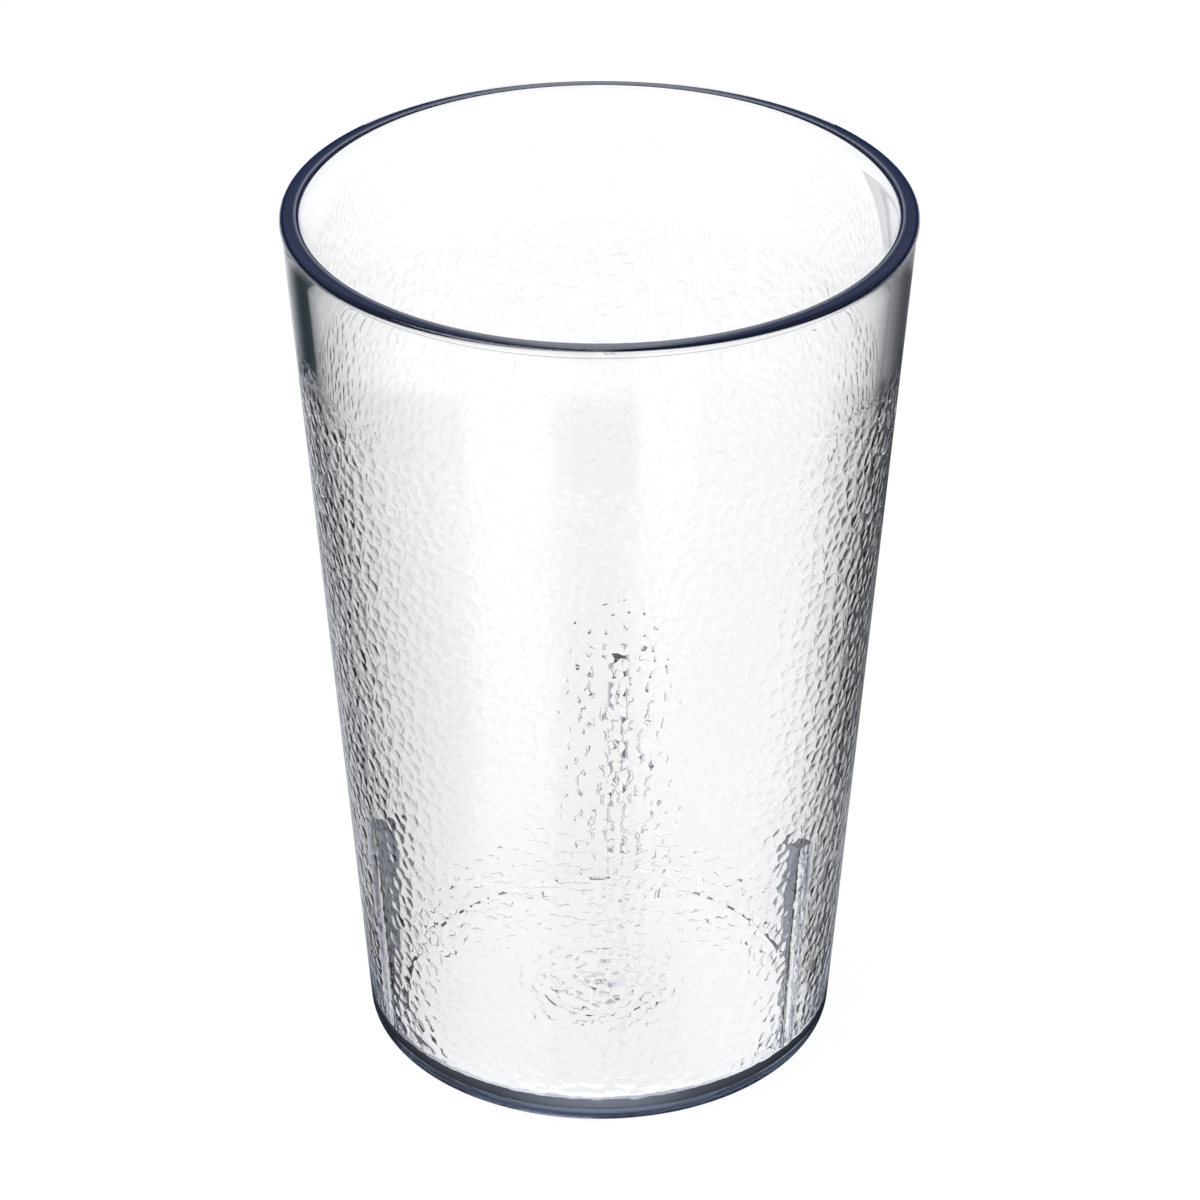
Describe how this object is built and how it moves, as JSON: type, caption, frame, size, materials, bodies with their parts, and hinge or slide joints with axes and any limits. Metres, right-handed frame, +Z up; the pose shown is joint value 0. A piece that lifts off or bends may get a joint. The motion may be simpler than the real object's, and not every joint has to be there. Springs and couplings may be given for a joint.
{
  "type": "plastic tumbler cup",
  "caption": "Clear plastic stacking tumbler with a tapered wall, a rim band, a plain drinking band, a grained grip and inner stacking lugs.",
  "frame": {"origin": "centre of the foot's resting ring, on the table plane", "axes": "+Z up the cup's axis to the mouth; -Y to the front, and the first stacking lug is 35 degrees from +X towards the front"},
  "size_m": [0.071, 0.071, 0.105],
  "materials": {
    "clear_plastic": "clear, glossy, grained on the outside of the grip"
  },
  "bodies": {
    "root": {"tumbler": "clear_plastic"}
  },
  "joints": []
}
